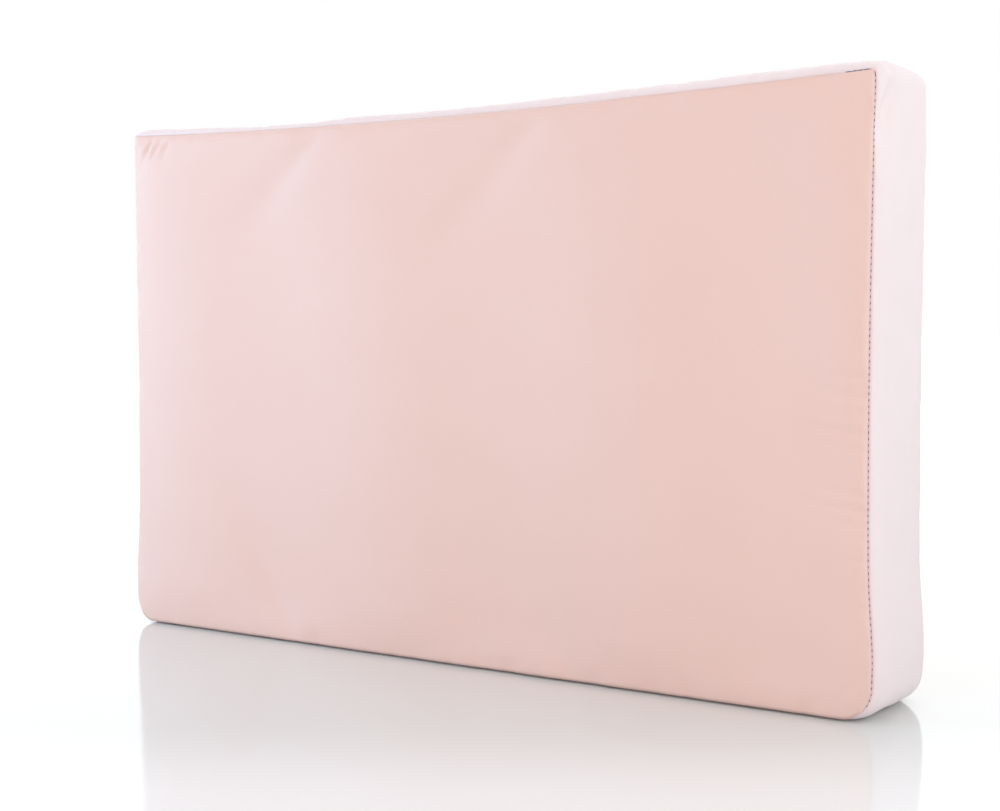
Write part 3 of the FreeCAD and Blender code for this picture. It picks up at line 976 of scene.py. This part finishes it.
clear = foamLook["clear"]
slabLow = (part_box("foam_core")[0].x, None, seamLow + clear - 0.001)
slabHigh = (seamRight - clear, None, seamTop - clear)
for name, node, slot, tones, cell in (
        ("foamCore", "foam_core", "firm_foam", ((0.80, 0.74, 0.58), (0.66, 0.59, 0.43)), 0.0012),
        ("foamComfortLayer", "foam_comfort_layer", "soft_foam", ((0.86, 0.82, 0.72), (0.74, 0.69, 0.58)),
         0.0009)):
    low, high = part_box(node)
    y = (max(low.y + 0.0001, -foamLook["half"]), min(high.y - 0.0001, foamLook["half"]))
    foam = newPiece(name, softSlab((slabLow[0], y[0], slabLow[2]), (slabHigh[0], y[1], slabHigh[2]),
                                   foamLook["gap"] + foamLook["sleeve"]))
    foam.data.materials.append(plainMaterial(name, *tones, 1 / cell, 0.9, depth=0.0006))
    sewOn(foam, slot, node)


def makeLiner():
    grow = foamLook["sleeve"]
    low = (slabLow[0] - grow, -foamLook["half"] - grow, slabLow[2] - grow)
    high = (slabHigh[0] + grow, foamLook["half"] + grow, slabHigh[2] + grow)
    bm = softSlab(low, high, foamLook["gap"])
    mouth = [f for f in bm.faces if f.normal.x < -0.7]
    bmesh.ops.delete(bm, geom=mouth, context="FACES")
    layer = bm.loops.layers.uv.new("weave")
    for face in bm.faces:
        for loop in face.loops:
            co = loop.vert.co
            loop[layer].uv = (co.x + co.y * 0.7, co.z + co.y * 0.7)
    liner = newPiece("innerLiner", bm)
    liner.data.materials.append(
        clothMaterial("linerCloth", (0.84, 0.84, 0.82), (0.76, 0.76, 0.74), 0.1, 0.8))
    wall = liner.modifiers.new("wall", "SOLIDIFY")
    wall.thickness = 0.0005
    wall.offset = 1
    sewOn(liner, "liner_fabric", "inner_liner")


makeLiner()
print("foam and sleeve in place")


# floor and light
floorLook = {
    "near": (0.77, 0.79, 0.775),  # glossy floor; painted shade: darker round the mat, paling towards the camera and fading the mat's reflection out
    "front": (0.96, 0.96, 0.96),
    # the camera's heading, along which the painted shade pales
    "turn": math.radians(-34.3),
    "paleFrom": -0.30,
    "paleTo": -0.58,
    "roughness": 0.10,
    "size": 30,
}


def makeFloor():
    bm = bmesh.new()
    bmesh.ops.create_grid(bm, x_segments=1, y_segments=1, size=floorLook["size"])
    floor = newPiece("floor", bm, smooth=False)
    material, tree, shader = newMaterial("floorPaintedShade")
    coords = addNode(tree, "ShaderNodeTexCoord")
    turned = addNode(tree, "ShaderNodeMapping", {"Vector": coords.outputs["Object"],
                                                "Rotation": (0, 0, floorLook["turn"])})
    split = addNode(tree, "ShaderNodeSeparateXYZ", {"Vector": turned.outputs[0]})
    # painted shade: the floor's colour runs from the darker tone round the mat to the pale tone towards
    # the camera
    share = addNode(tree, "ShaderNodeMapRange", {
        "Value": split.outputs["Y"], "From Min": floorLook["paleFrom"], "From Max": floorLook["paleTo"]},
        interpolation_type="SMOOTHSTEP")
    colour = addNode(tree, "ShaderNodeMix", {"Factor": share.outputs[0]}, data_type="RGBA")
    colour.inputs[6].default_value = (*floorLook["near"], 1)
    colour.inputs[7].default_value = (*floorLook["front"], 1)
    tree.links.new(colour.outputs[2], shader.inputs["Base Color"])
    shader.inputs["Roughness"].default_value = floorLook["roughness"]
    shader.inputs["IOR"].default_value = 1.5
    floor.data.materials.append(material)


makeFloor()


def makeWorld(seen, mirrored, lit):
    # a bright white room, dimmer and faintly warm where it lights matt surfaces
    world = bpy.data.worlds.new("studio")
    scene.world = world
    world.use_nodes = True
    tree = world.node_tree
    rays = addNode(tree, "ShaderNodeLightPath")
    glossy = addNode(tree, "ShaderNodeMix", {"Factor": rays.outputs["Is Glossy Ray"]}, data_type="RGBA")
    glossy.inputs[6].default_value = (seen, seen, seen, 1)
    glossy.inputs[7].default_value = (mirrored, mirrored, mirrored, 1)
    diffuse = addNode(tree, "ShaderNodeMix", {"Factor": rays.outputs["Is Diffuse Ray"]},
                      data_type="RGBA")
    tree.links.new(glossy.outputs[2], diffuse.inputs[6])
    diffuse.inputs[7].default_value = (*lit, 1)
    tree.links.new(diffuse.outputs[2], tree.nodes["Background"].inputs["Color"])


def softBox(name, place, aim, size, power, tone=(1, 1, 1)):
    light = bpy.data.lights.new(name, "AREA")
    light.shape = "RECTANGLE"
    light.size, light.size_y = size
    light.energy = power
    light.color = tone
    box = bpy.data.objects.new(name, light)
    box.location = place
    box.rotation_euler = (Vector(aim) - Vector(place)).to_track_quat("-Z", "Y").to_euler()
    scene.collection.objects.link(box)


makeWorld(seen=1.0, mirrored=1.6, lit=(0.76, 0.70, 0.67))
softBox("leftLow", (-1.6, -1.2, 0.6), (-0.3, 0, 0.3), (1.0, 1.2), 15.5, (0.55, 0.81, 1.0))
softBox("leftGraze", (-1.5, -0.5, 0.7), (-0.1, 0, 0.35), (0.8, 1.2), 4, (0.1, 0.55, 1.0))
softBox("endBox", (2.4, 0.4, 1.2), (0.48, 0, 0.3), (1.4, 1.8), 10.0, (0.36, 0.80, 1.0))
softBox("endFront", (2.2, -1.2, 0.8), (0.48, 0, 0.3), (1.4, 1.8), 11.6, (0.94, 1.0, 0.97))
softBox("topBox", (0.2, 0.8, 2.4), (0, 0, 0.6), (2.0, 1.6), 8.0, (0.60, 0.84, 1.0))
scene.view_settings.view_transform = "Standard"
print("floor and lights placed")
